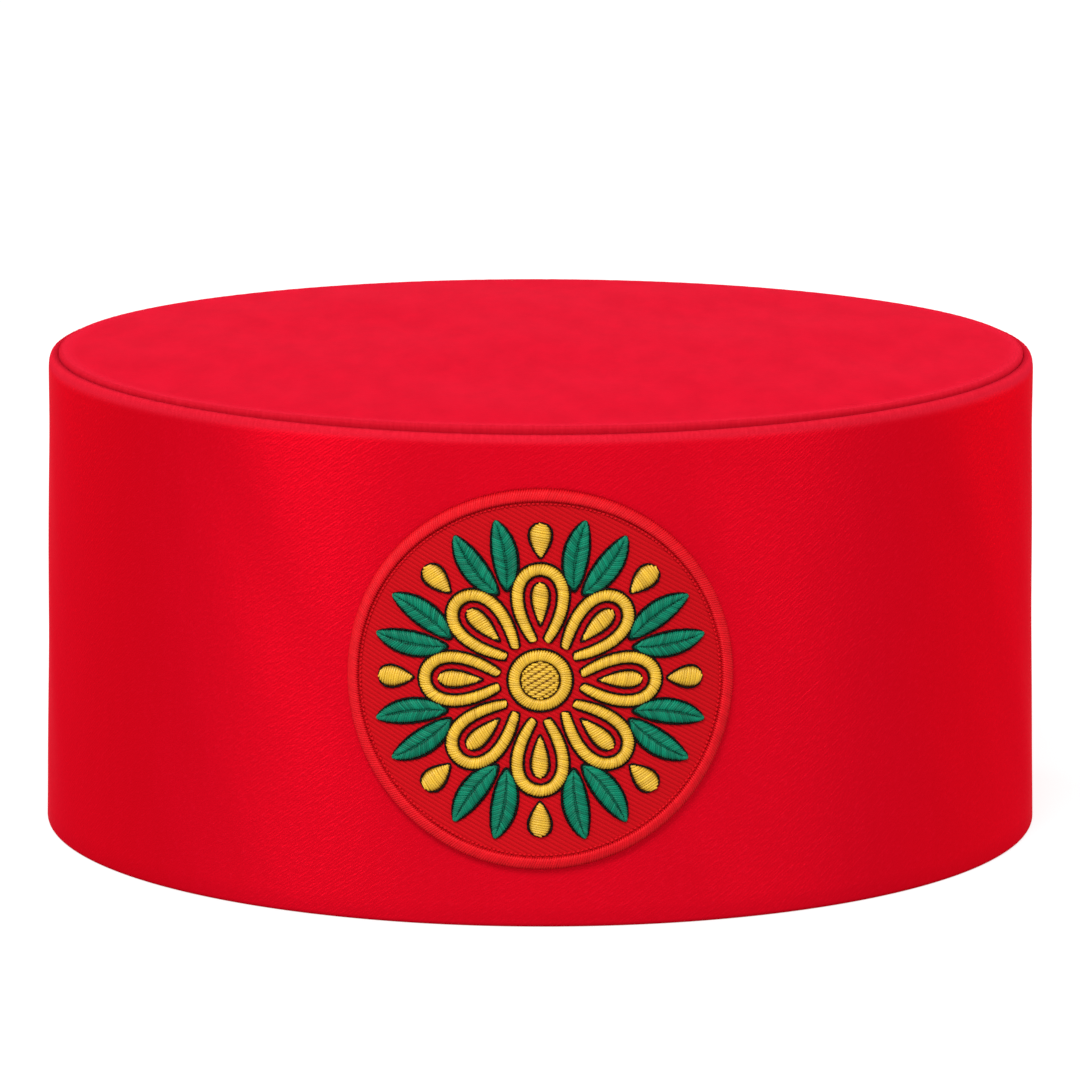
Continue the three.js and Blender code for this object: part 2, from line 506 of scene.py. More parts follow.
def places_of(mesh: bpy.types.Mesh) -> np.ndarray:
    """Reads a mesh's vertices as rows of x, y and z."""
    places = np.zeros(len(mesh.vertices) * 3)
    mesh.vertices.foreach_get("co", places)
    return places.reshape(-1, 3)


def reshape(mesh: bpy.types.Mesh, change: Callable[[np.ndarray], np.ndarray]) -> None:
    """Moves all vertices of a mesh at once.

    Args:
        mesh: The mesh.
        change: Takes the vertices as rows of x, y and z, and gives their new places.
    """
    mesh.vertices.foreach_set("co", change(places_of(mesh)).ravel())
    mesh.update()


def values_of(mesh: bpy.types.Mesh, name: str) -> np.ndarray:
    """Reads a mesh's float attribute as one number for each vertex."""
    found = np.zeros(len(mesh.vertices))
    mesh.attributes[name].data.foreach_get("value", found)
    return found


def corners_of(mesh: bpy.types.Mesh) -> np.ndarray:
    """Reads which vertex each of the faces' corners is at."""
    found = np.zeros(len(mesh.loops), dtype=int)
    mesh.loops.foreach_get("vertex_index", found)
    return found


def map_cloth(mesh: bpy.types.Mesh, flat: np.ndarray) -> None:
    """Gives a mesh its cloth map.

    Args:
        mesh: The mesh.
        flat: A row for each of the faces' corners, of its place on the flat cloth in metres.
    """
    mesh.uv_layers.new(name=CLOTH_MAP).data.foreach_set("uv", flat.ravel())


def finished(build: bmesh.types.BMesh, name: str) -> bpy.types.Mesh:
    """Turns a bmesh's faces outwards, makes a mesh of it and frees it.

    Args:
        build: The bmesh.
        name: The mesh's name.

    Returns:
        The mesh.
    """
    bmesh.ops.recalc_face_normals(build, faces=build.faces[:])
    mesh = bpy.data.meshes.new(name)
    build.to_mesh(mesh)
    build.free()
    return mesh


def new_piece(name: str, mesh: bpy.types.Mesh, material: bpy.types.Material) -> bpy.types.Object:
    """Makes a smooth-shaded object of a finished mesh.

    Args:
        name: The piece's name.
        mesh: Its mesh, in metres and in place.
        material: Its finish.

    Returns:
        The object, linked to the scene.
    """
    mesh.shade_smooth()
    mesh.materials.append(material)
    piece = bpy.data.objects.new(name, mesh)
    bpy.context.scene.collection.objects.link(piece)
    return piece


def hand_over(piece: bpy.types.Object, nodes: Sequence[str]) -> None:
    """Rides a piece on the cap, hides the CAD nodes it stands for, and reports it.

    Args:
        piece: The piece, in place.
        nodes: The CAD nodes that the piece replaces.
    """
    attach(piece, BODY)
    if nodes:
        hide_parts(*nodes)
    triangles = sum(len(face.vertices) - 2 for face in piece.data.polygons)
    LOG.info("%s: %d triangles, stands for %d nodes", piece.name, triangles, len(nodes))


@dataclass
class WallOval:
    """The oval wall that everything is fitted to, in millimetres, worked out from the CAD side band."""

    half_width: float
    length_ratio: float
    height: float
    badge_height: float
    badge_stretch: float = 1.02
    rim_flare: float = 1.0
    bow: float = 0.2
    samples: int = 4097
    angles: np.ndarray = field(init=False)
    runs: np.ndarray = field(init=False)

    def __post_init__(self) -> None:
        """Tables the run along the wall, from the front, against the oval's own angle."""
        self.angles = np.linspace(-math.pi, math.pi, self.samples)
        x = np.sin(self.angles) * self.half_width
        y = -np.cos(self.angles) * self.half_width * self.length_ratio
        steps = np.hypot(np.diff(x), np.diff(y))
        runs = np.concatenate([[0.0], np.cumsum(steps)])
        self.runs = runs - runs[-1] / 2

    @classmethod
    def from_frame(cls) -> "WallOval":
        """Reads the wall's sizes off the CAD nodes."""
        _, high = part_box("side_band")
        low_edge, high_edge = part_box("badge_edge")
        return cls(
            half_width=high.x / MM - cls.rim_flare,
            length_ratio=high.y / high.x,
            height=high.z / MM,
            badge_height=(low_edge.z + high_edge.z) / 2 / MM,
        )

    def girth(self) -> float:
        """Gives the length once round the wall at the crown."""
        return self.runs[-1] - self.runs[0]

    def outer_radius(self, height: np.ndarray | float) -> np.ndarray | float:
        """Gives the wall's radius across the cap: it flares to the rim and bows in a little halfway."""
        share = height / self.height
        return self.half_width + self.rim_flare * (1 - share) - self.bow * 4 * share * (1 - share)

    def angle_of(self, places: np.ndarray) -> np.ndarray:
        """Gives the oval's angle of each place, 0 at the front and positive towards +X."""
        return np.arctan2(places[:, 0], -places[:, 1] / self.length_ratio)

    def radius_of(self, places: np.ndarray) -> np.ndarray:
        """Gives each place's distance from the axis, with the oval's length scaled to its width."""
        return np.hypot(places[:, 0], places[:, 1] / self.length_ratio)

    def run_of(self, places: np.ndarray) -> np.ndarray:
        """Gives how far along the wall each place lies from the front."""
        return np.interp(self.angle_of(places), self.angles, self.runs)

    def stretched(self, places: np.ndarray) -> np.ndarray:
        """Stretches round places to the oval."""
        return places * (1, self.length_ratio, 1)

    def bend(self, flat: np.ndarray) -> np.ndarray:
        """Lays a flat badge shape on the wall, which stretches it a little along the wall.

        Args:
            flat: Rows of run along the wall from the front, height above the badge's centre, and distance
                outwards from the wall's face, in millimetres.

        Returns:
            The same points on the cap, in metres.
        """
        angle = np.interp(flat[:, 0] * self.badge_stretch, self.runs, self.angles)
        across = np.stack([np.sin(angle), -np.cos(angle) * self.length_ratio], axis=1)
        tangent = np.stack([np.cos(angle), np.sin(angle) * self.length_ratio], axis=1)
        tangent /= np.linalg.norm(tangent, axis=1, keepdims=True)
        normal = np.stack([tangent[:, 1], -tangent[:, 0]], axis=1)
        height = self.badge_height + flat[:, 1]
        plan = across * self.outer_radius(height)[:, None] + normal * flat[:, 2:3]
        return np.column_stack([plan, height]) * MM


@dataclass
class Section:
    """A turned profile of (radius, height) points, drawn stretch by stretch."""

    points: list[tuple[float, float]] = field(default_factory=list)

    def line(self, radius: float, height: float, steps: int = 1) -> "Section":
        """Draws a straight stretch, or starts the profile.

        Args:
            radius: The radius at its end.
            height: The height at its end.
            steps: How many pieces it is cut into.

        Returns:
            The section.
        """
        first_radius, first_height = self.points[-1] if self.points else (radius, height)
        for i in range(1, steps + 1):
            share = i / steps
            self.points.append((
                first_radius + (radius - first_radius) * share,
                first_height + (height - first_height) * share,
            ))
        return self

    def curve(self, control: tuple[float, float], end: tuple[float, float], steps: int) -> "Section":
        """Draws a rounded stretch that leaves towards a control point.

        Args:
            control: The control point.
            end: The end point.
            steps: How many pieces it is cut into.

        Returns:
            The section.
        """
        start = self.points[-1]
        for i in range(1, steps + 1):
            share = i / steps
            weights = ((1 - share) ** 2, 2 * share * (1 - share), share ** 2)
            self.points.append(tuple(
                sum(w * p[axis] for w, p in zip(weights, (start, control, end))) for axis in (0, 1)
            ))
        return self

    def spun(
        self, name: str, turns: int, marks: dict[str, Callable[[float, float], float]], closed: bool,
    ) -> bpy.types.Mesh:
        """Spins the profile once round +Z.

        Args:
            name: The mesh's name.
            turns: How many steps the full turn has.
            marks: Attributes by name, each worked out from a radius and a height.
            closed: Whether the profile closes on itself; otherwise it starts and ends on the axis.

        Returns:
            A closed mesh in millimetres, with the run along the profile and the marks as attributes.
        """
        build = bmesh.new()
        for mark in ("run", *marks):
            build.verts.layers.float.new(mark)
        outline = [build.verts.new((radius, 0, height)) for radius, height in self.points]
        run = 0.0
        for i, vert in enumerate(outline):
            run += (vert.co - outline[i - 1].co).length if i else 0.0
            vert[build.verts.layers.float["run"]] = run
            for mark, value in marks.items():
                vert[build.verts.layers.float[mark]] = value(*self.points[i])
        pairs = list(zip(outline, outline[1:]))
        if closed:
            pairs.append((outline[-1], outline[0]))
        edges = [build.edges.new(pair) for pair in pairs]
        bmesh.ops.spin(
            build, geom=outline + edges, cent=(0, 0, 0), axis=(0, 0, 1), angle=2 * math.pi, steps=turns,
            use_merge=True,
        )
        bmesh.ops.remove_doubles(build, verts=build.verts[:], dist=MERGE)
        return finished(build, name)


def waves(angle: np.ndarray, rows: Waves) -> np.ndarray:
    """Sums waves round the cap at each angle of the oval."""
    return sum(size * np.sin(count * angle + phase) for size, count, phase in rows)


@dataclass
class SideBand:
    """The stiff upright wall: a cloth band with a turned hem, a rolled shoulder and the crown seam's lip."""

    oval: WallOval
    thickness: float = 2.6
    hem_radius: float = 0.8
    shoulder_foot: float = 84.9
    shoulder_top: float = 87.75
    shoulder_width: float = 0.9
    front_dip: float = 0.7
    dip_power: int = 4
    side_lift: float = 0.25
    lift_power: int = 6
    seam_inset: float = 2.0
    seam_depth: float = 0.45
    seam_margin: float = 0.1
    ledge: float = 85.9
    turns: int = 480
    wall_rows: int = 26
    pull_reach: float = 2.6
    # Painted shade in the seam's groove and under the hem: its strength, its reach out of the groove, and its
    # strength and reach at the hem
    painted_shade: float = 0.6
    painted_shade_reach: float = 1.6
    hem_painted_shade: float = 0.3
    hem_shade: float = 1.3
    join_width: float = 1.1
    join_depth: float = 0.3
    join_fade: float = 2.0
    ripple_fade: float = 12.0
    # How far up the wall the waves shift one radian round the cap
    ripple_slant: float = 160.0
    pucker_slant: float = 60.0
    ripples: Waves = ((0.07, 9, 0.6), (0.05, 17, 2.1), (0.04, 29, 4.0))
    puckers: Waves = ((0.012, 131, 0.3), (0.012, 173, 1.9), (0.012, 211, 3.7))

    def lip(self) -> float:
        """Gives the radius of the seam's lip."""
        return self.oval.half_width - self.seam_inset

    def section(self) -> Section:
        """Draws the wall's section, from the rim's inner edge out, up, over the shoulder and down inside.

        Returns:
            The section, closed on itself.
        """
        oval, hem = self.oval, self.hem_radius
        rim = oval.outer_radius(0.0)
        inner_rim = rim - self.thickness
        top, crest = self.shoulder_top, oval.half_width - self.shoulder_width
        lip = self.lip()
        drawn = Section().line(inner_rim + hem, 0.0).line(rim - hem, 0.0, steps=2)
        drawn.curve((rim, 0.0), (oval.outer_radius(hem), hem), steps=6)
        for row in range(1, self.wall_rows + 1):
            height = hem + (self.shoulder_foot - hem) * row / self.wall_rows
            drawn.line(oval.outer_radius(height), height)
        drawn.curve((oval.half_width, top), (crest, top), steps=8)
        drawn.curve((lip, top), (lip, top - self.seam_depth), steps=6)
        drawn.line(lip, self.ledge, steps=2)
        for height, steps in ((self.ledge, 2), (oval.height / 2, 3), (hem, 3)):
            drawn.line(oval.outer_radius(height) - self.thickness, height, steps)
        drawn.curve((inner_rim, 0.0), (inner_rim + hem, 0.0), steps=4)
        drawn.points.pop()
        return drawn

    def seam_pull(self, radius: float, height: float) -> float:
        """Gives the share of the seam's pull: 1 at the groove, fading down the outer face."""
        outside = radius > self.lip() - self.seam_margin
        return min(1.0, max(0.0, 1 - (self.shoulder_top - height) / self.pull_reach)) if outside else 0.0

    def painted_shade_share(self, radius: float, height: float) -> float:
        """Gives the share of the painted shade: in the seam's groove and under the hem.

        Args:
            radius: The radius on the section.
            height: The height there.

        Returns:
            The share, from 0 to 1.
        """
        groove = (self.lip() + self.painted_shade_reach - radius) / self.painted_shade_reach if height > self.ledge else 0.0
        hem = (self.hem_shade - height) / self.hem_shade
        return max(0.0, self.painted_shade * min(1.0, groove), self.hem_painted_shade * hem)

    def join(self, places: np.ndarray) -> np.ndarray:
        """Sinks the plain upright join at the back, which fades out at the hem and under the shoulder.

        Args:
            places: The wall's points.

        Returns:
            How far each one goes in.
        """
        height = places[:, 2]
        beside = (np.abs(self.oval.angle_of(places)) - math.pi) * self.oval.half_width / self.join_width
        outside = self.oval.radius_of(places) > self.lip()
        above_hem = np.clip(height / self.join_fade, 0, 1)
        below_shoulder = np.clip((self.shoulder_foot - height) / self.join_fade, 0, 1)
        return self.join_depth * np.exp(-beside ** 2) * outside * above_hem * below_shoulder

    def rippled(self, places: np.ndarray, pull: np.ndarray) -> np.ndarray:
        """Gives the cloth its faint ripples, the seam its puckers and the back its join.

        Args:
            places: The wall's points.
            pull: The seam's pull at each.

        Returns:
            Their new places.
        """
        angle, height = self.oval.angle_of(places), places[:, 2]
        above_rim = np.clip(height / self.ripple_fade, 0, 1)
        below_crown = np.clip((self.oval.height - height) / self.ripple_fade, 0, 1)
        drift = waves(angle + height / self.ripple_slant, self.ripples) * above_rim * below_crown
        gather = waves(angle + height / self.pucker_slant, self.puckers) * pull
        reach = 1 + (drift + gather - self.join(places)) / self.oval.half_width
        dip = self.front_dip * np.clip(np.cos(angle), 0, 1) ** self.dip_power
        seam_run = self.side_lift * np.sin(angle) ** self.lift_power - dip
        lift = np.where(height > self.oval.height / 2, gather + seam_run * pull, 0.0)
        return np.column_stack([places[:, :2] * reach[:, None], height + lift])

    def cloth_places(self, mesh: bpy.types.Mesh) -> np.ndarray:
        """Unrolls the cloth along the wall and across it, with the map's edge at the back join.

        Args:
            mesh: The wall in millimetres, all of four-cornered faces.

        Returns:
            A row for each of the faces' corners, in metres.
        """
        corners = corners_of(mesh)
        girth = self.oval.girth()
        run = self.oval.run_of(places_of(mesh))[corners].reshape(-1, 4)
        across_back = (run.max(axis=1) - run.min(axis=1) > girth / 2)[:, None]
        run = np.where(across_back & (run < 0), run + girth, run)
        return np.column_stack([run.ravel(), values_of(mesh, "run")[corners]]) * MM

    def build(self, finish: bpy.types.Material) -> None:
        """Builds the band and maps its cloth.

        Args:
            finish: The cap's cloth.
        """
        marks = {"seam": self.seam_pull, "painted_shade": self.painted_shade_share}
        mesh = self.section().spun("side_band_cloth", self.turns, marks, closed=True)
        pull = values_of(mesh, "seam")
        reshape(mesh, lambda places: self.rippled(self.oval.stretched(places), pull))
        map_cloth(mesh, self.cloth_places(mesh))
        reshape(mesh, lambda places: places * MM)
        piece = new_piece("side_band_cloth", mesh, finish)
        hand_over(piece, ["side_band"])
        self.oval.girth() * MM


@dataclass
class CrownPanel:
    """The flat top: one oval of cloth, pillowed at its edge where the crown seam pulls it down."""

    oval: WallOval
    edge_gap: float = 1.9
    under: float = 86.2
    edge_height: float = 1.4
    tuck: float = 0.4
    shoulder: float = 2.1
    shoulder_drop: float = 0.02
    middle: float = 2.8
    pillow: float = 0.8
    pull_reach: float = 1.7
    pull_floor: float = 0.1
    # Painted shade where the panel's edge goes down into the seam: its strength, the drop over which it
    # grows, and how fast it sets in
    painted_shade: float = 0.5
    painted_shade_depth: float = 1.3
    painted_shade_power: float = 0.3
    tilt: float = 0.15
    side_lift: float = 0.5
    lift_power: int = 4
    turns: int = 480
    dome_rows: int = 30
    top_floor: float = 0.2
    top_rise: float = 0.6
    swell_fade: float = 14.0
    pucker_slant: float = 300.0
    # The height of each swell, its lengths across and along the cap for one radian, and its phase
    swells: tuple[tuple[float, float, float, float], ...] = (
        (0.10, 14.0, 23.0, 0.4), (0.08, -31.0, 11.0, 1.7), (0.07, 9.0, -17.0, 3.1), (0.05, 5.0, 8.0, 0.9),
    )
    puckers: Waves = ((0.012, 131, 1.3), (0.012, 173, 2.4), (0.012, 223, 0.2))

    def edge(self) -> float:
        """Gives the radius of the panel's edge."""
        return self.oval.half_width - self.edge_gap

    def section(self) -> Section:
        """Draws the section, from the middle of the panel's top out over the pillow to the middle underneath.

        Returns:
            The section, which starts and ends on the axis.
        """
        edge, under, shoulder = self.edge(), self.under, self.under + self.shoulder
        drawn = Section().line(0.0, under + self.middle)
        drawn.curve((edge / 2, under + self.middle), (edge - self.pillow, shoulder), self.dome_rows)
        drawn.curve((edge, shoulder - self.shoulder_drop), (edge, under + self.edge_height), steps=12)
        drawn.curve((edge, under + self.tuck), (edge - self.tuck, under), steps=6)
        return drawn.line(0.0, under, steps=4)

    def seam_pull(self, radius: float, height: float) -> float:
        """Gives the share of the seam's pull: most at the panel's edge, fading inwards over its top."""
        on_top = height > self.under + self.pull_floor
        return max(0.0, 1 - (self.edge() - radius) / self.pull_reach) if on_top else 0.0

    def painted_shade_share(self, radius: float, height: float) -> float:
        """Gives the share of the painted shade, where the panel's edge goes down into the seam.

        Args:
            radius: The radius on the section.
            height: The height there.

        Returns:
            The share, from 0 to 1.
        """
        drop = (self.under + self.shoulder - height) / self.painted_shade_depth
        on_edge = radius > self.edge() - self.pillow
        return self.painted_shade * min(1.0, max(0.0, drop)) ** self.painted_shade_power if on_edge else 0.0

    def swollen(self, places: np.ndarray, pull: np.ndarray) -> np.ndarray:
        """Gives the top its shallow swells and the seam's puckers.

        Args:
            places: The panel's points.
            pull: The seam's pull at each.

        Returns:
            Their new places.
        """
        x, y, height = places.T
        angle, radius = self.oval.angle_of(places), self.oval.radius_of(places)
        on_top = np.clip((height - self.under - self.top_floor) / self.top_rise, 0, 1)
        free = on_top * np.clip((self.edge() - radius) / self.swell_fade, 0, 1)
        rise = sum(
            size * np.sin(x / across + y / along + phase) for size, across, along, phase in self.swells
        )
        gather = waves(angle + radius / self.pucker_slant, self.puckers) * pull
        slope = self.tilt * np.cos(angle) + self.side_lift * np.sin(angle) ** self.lift_power
        seam_run = slope * (radius / self.edge()) ** 2
        return np.column_stack([x, y, height + rise * free + (gather + seam_run) * on_top])

    def build(self, finish: bpy.types.Material) -> None:
        """Builds the panel and maps its cloth.

        Args:
            finish: The cap's cloth.
        """
        marks = {"seam": self.seam_pull, "painted_shade": self.painted_shade_share}
        mesh = self.section().spun("crown_panel_cloth", self.turns, marks, closed=False)
        pull = values_of(mesh, "seam")
        reshape(mesh, lambda places: self.swollen(self.oval.stretched(places), pull) * MM)
        map_cloth(mesh, places_of(mesh)[corners_of(mesh), :2])
        piece = new_piece("crown_panel_cloth", mesh, finish)
        hand_over(piece, ["crown_panel"])
        width = 2 * self.edge() * MM


@dataclass(frozen=True)
class ThreadGauge:
    """A laid thread's half width in the badge's plane, and its half height."""

    half_width: float
    half_height: float


WRAP_THREAD = ThreadGauge(0.25, 0.16)
ROW_THREAD = ThreadGauge(0.2, 0.14)
SATIN_THREAD = ThreadGauge(0.235, 0.15)
BRICK_THREAD = ThreadGauge(0.23, 0.15)
OUTLINE_THREAD = ThreadGauge(0.21, 0.2)


@dataclass
class Threads:
    """One piece of embroidery: threads gathered in the badge's plane as thin tubes, over their padding."""

    name: str
    colour: ThreadColour
    seed: int
    nodes: Sequence[str] = ()
    sides: int = 6
    size_spread: float = 0.08
    # Painted shade on the padding, which lies in the shade under the threads
    padding_painted_shade: float = 0.55
    tubes: list[np.ndarray] = field(default_factory=list)
    tones: list[np.ndarray] = field(default_factory=list)
    painted_dive_shades: list[np.ndarray] = field(default_factory=list)
    padding: bmesh.types.BMesh = field(default_factory=bmesh.new)
    chance: np.random.Generator = field(init=False)

    def __post_init__(self) -> None:
        """Starts the fixed sequence of chance that varies the threads, and the padding's attributes."""
        self.chance = np.random.default_rng(self.seed)
        self.padding.verts.layers.float.new("tone")
        self.padding.verts.layers.float.new("painted_dive_shade")

    def lay(
        self, lines: Lines, gauge: ThreadGauge, taper: float = 0.45, painted_dive_power: float = 6.0,
        root_painted_dive_shade: float = 1.0,
    ) -> None:
        """Lays threads along centre lines.

        Args:
            lines: The lines.
            gauge: The threads' size.
            taper: The share of the size that is left at a thread's ends.
            painted_dive_power: How late the painted shade sets in towards the ends.
            root_painted_dive_shade: The share of the painted shade at a line's first end.
        """
        count, stations = lines.shape[:2]
        ahead = np.gradient(lines, axis=1)
        ahead /= np.maximum(np.linalg.norm(ahead, axis=2, keepdims=True), TINY)
        beside = np.stack([-ahead[..., 1], ahead[..., 0], np.zeros((count, stations))], axis=2)
        beside /= np.maximum(np.linalg.norm(beside, axis=2, keepdims=True), TINY)
        above = np.cross(ahead, beside)
        share = np.linspace(-1, 1, stations)
        size = taper + (1 - taper) * np.sqrt(np.clip(1 - share ** 4, 0, 1))
        size = size * self.chance.uniform(1 - self.size_spread, 1 + self.size_spread, (count, 1))
        turn = np.arange(self.sides) * 2 * math.pi / self.sides
        across = (gauge.half_width * size)[..., None, None] * np.cos(turn)[:, None]
        up = (gauge.half_height * size)[..., None, None] * np.sin(turn)[:, None]
        self.tubes.append(lines[:, :, None] + across * beside[:, :, None] + up * above[:, :, None])
        tone = self.chance.uniform(0, 1, (count, 1, 1))
        # Painted shade: a thread darkens towards its ends, where it goes into the cloth
        painted_dive_shade = (np.abs(share) ** painted_dive_power * np.where(share < 0, root_painted_dive_shade, 1.0))[None, :, None]
        for found, values in ((self.tones, tone), (self.painted_dive_shades, painted_dive_shade)):
            found.append(np.broadcast_to(values, (count, stations, self.sides)).ravel())

    def pad(self, fit: Callable[[np.ndarray], np.ndarray], around: int, along: int) -> None:
        """Adds the padding under a motif: a ball fitted to the motif.

        Args:
            fit: Takes the unit ball's points, and gives their places in the badge's plane.
            around: The ball's divisions round its axis.
            along: Its divisions along its axis.
        """
        ball = bmesh.ops.create_uvsphere(self.padding, u_segments=around, v_segments=along, radius=1.0)
        painted_dive_layer = self.padding.verts.layers.float["painted_dive_shade"]
        for vert, place in zip(ball["verts"], fit(np.array([vert.co for vert in ball["verts"]]))):
            vert.co = place
            vert[painted_dive_layer] = self.padding_painted_shade

    def build(self, oval: WallOval, finish: bpy.types.Material) -> None:
        """Makes one piece of all the threads and padding, laid on the wall.

        Args:
            oval: The wall.
            finish: The thread's material.
        """
        corners, faces, first = [], [], 0
        for tube in self.tubes:
            count, stations, sides = tube.shape[:3]
            ids = first + np.arange(count * stations * sides).reshape(count, stations, sides)
            beside = np.roll(ids, -1, axis=2)
            walls = np.stack([ids[:, :-1], beside[:, :-1], beside[:, 1:], ids[:, 1:]], axis=3)
            faces += walls.reshape(-1, 4).tolist()
            faces += ids[:, 0, ::-1].tolist() + ids[:, -1].tolist()
            corners.append(tube.reshape(-1, 3))
            first += ids.size
        strands = bpy.data.meshes.new(f"{self.name}_strands")
        strands.from_pydata(np.concatenate(corners), [], faces)
        for layer, found in (("tone", self.tones), ("painted_dive_shade", self.painted_dive_shades)):
            strands.attributes.new(layer, "FLOAT", "POINT").data.foreach_set("value", np.concatenate(found))
        self.padding.from_mesh(strands)
        bpy.data.meshes.remove(strands)
        mesh = finished(self.padding, self.name)
        reshape(mesh, oval.bend)
        hand_over(new_piece(self.name, mesh, finish), self.nodes)


@dataclass
class Spine:
    """A motif's line from root to tip, a Bezier curve through its control points in the badge's plane."""

    controls: tuple[tuple[float, float], ...]
    samples: int = 400
    line: np.ndarray = field(init=False)
    shares: np.ndarray = field(init=False)
    length: float = field(init=False)

    def __post_init__(self) -> None:
        """Tables the curve against its own length."""
        degree = len(self.controls) - 1
        t = np.linspace(0, 1, self.samples)[:, None]
        weights = [math.comb(degree, i) * (1 - t) ** (degree - i) * t ** i for i in range(degree + 1)]
        self.line = sum(weight * np.array(control) for weight, control in zip(weights, self.controls))
        runs = np.concatenate([[0.0], np.cumsum(np.linalg.norm(np.diff(self.line, axis=0), axis=1))])
        self.length = float(runs[-1])
        self.shares = runs / self.length

    def at(self, along: np.ndarray) -> tuple[np.ndarray, np.ndarray]:
        """Gives places on the line.

        Args:
            along: Shares of the line's length.

        Returns:
            The points there, and the unit vectors to the left of the line.
        """
        along = np.clip(along, 0, 1)
        ahead = np.gradient(self.line, axis=0)
        ahead /= np.linalg.norm(ahead, axis=1, keepdims=True)
        point = np.stack([np.interp(along, self.shares, self.line[:, axis]) for axis in (0, 1)], axis=-1)
        tangent = np.stack([np.interp(along, self.shares, ahead[:, axis]) for axis in (0, 1)], axis=-1)
        return point, np.stack([-tangent[..., 1], tangent[..., 0]], axis=-1)


def arch(start: float, top: float, root_span: float, spread: float) -> Spine:
    """Makes the spine of an arch that leaves the heart, rounds its top and comes back.

    Args:
        start: Its feet's distance from the badge's centre.
        top: Its top's distance from the badge's centre.
        root_span: The distance between its feet.
        spread: How far its control points lie to each side.

    Returns:
        The spine.
    """
    # Halfway along, a cubic curve has gone three quarters of the way to its control points
    control_height = (top - start / 4) / 0.75
    return Spine((
        (-root_span / 2, start), (-spread, control_height), (spread, control_height), (root_span / 2, start),
    ))


class SatinPlan(Enum):
    """How a motif's satin stitches run."""

    ACROSS = "from edge to edge"
    FROM_VEIN = "from the middle line to both edges, leaning towards the tip"


@dataclass(frozen=True)
class BadgeLevels:
    """Heights above the wall's face, in millimetres, that the badge's layers share."""

    ground_under: float = 0.2
    ground_top: float = 1.1
    motif_foot: float = 1.05
    edge_foot: float = 0.3
    edge_top: float = 1.62


LEVELS = BadgeLevels()


